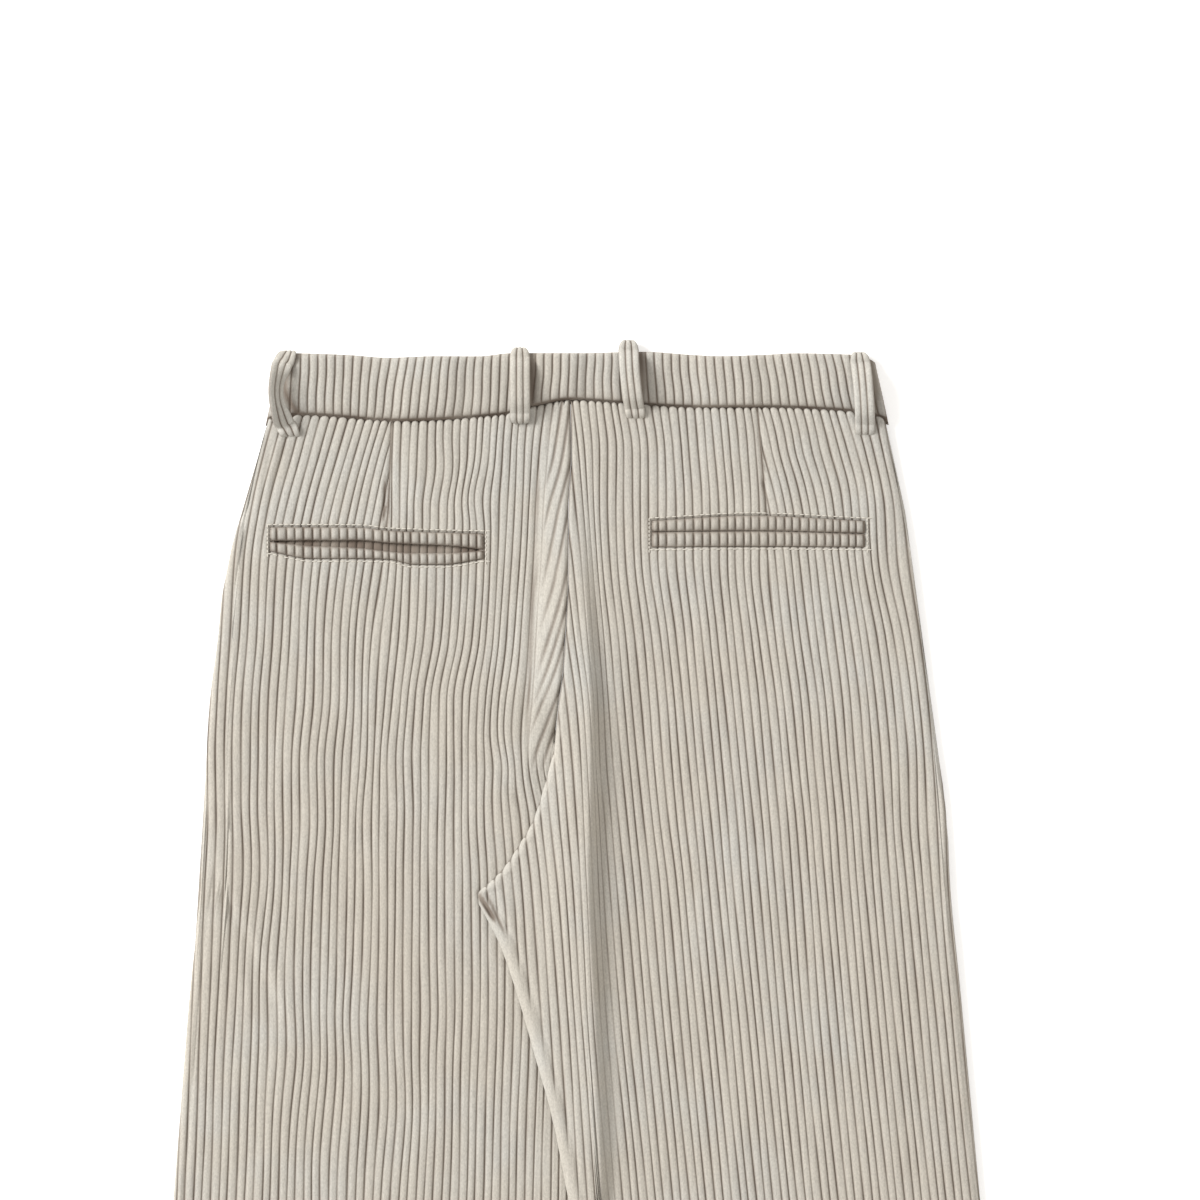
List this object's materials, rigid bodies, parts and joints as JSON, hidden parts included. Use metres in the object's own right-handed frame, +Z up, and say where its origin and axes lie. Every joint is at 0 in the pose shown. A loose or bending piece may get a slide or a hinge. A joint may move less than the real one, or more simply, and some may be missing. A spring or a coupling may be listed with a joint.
{
  "type": "corduroy trousers laid flat",
  "caption": "Wide-wale corduroy trousers laid flat seat side up: waistband with belt loops, two darts, two welt back pockets, one leg's fork lying over the other.",
  "frame": {"origin": "middle of the part's box in X and Y, on the surface that it lies on", "axes": "+X to the right as seen from above, +Y from the hems to the waist, +Z up from the surface"},
  "size_m": [0.5832, 1.1312, 0.0186],
  "materials": {
    "corduroy": "napped cotton cord",
    "cord_inside": "napped cotton cord in shade",
    "button": "satin"
  },
  "bodies": {
    "root": {"back_left": "corduroy", "back_right": "corduroy", "front_left": "corduroy", "front_right": "corduroy", "waistband_back": "corduroy", "waistband_front_left": "corduroy", "waistband_front_right": "corduroy", "loop_side_left": "corduroy", "loop_centre_left": "corduroy", "loop_centre_right": "corduroy", "loop_side_right": "corduroy", "loop_front_left": "corduroy", "loop_front_right": "corduroy", "pocket_left_upper_lip": "corduroy", "pocket_left_lower_lip": "corduroy", "pocket_left_facing": "cord_inside", "pocket_right_upper_lip": "corduroy", "pocket_right_lower_lip": "corduroy", "fly_flap": "cord_inside", "waist_button": "button"}
  },
  "joints": []
}
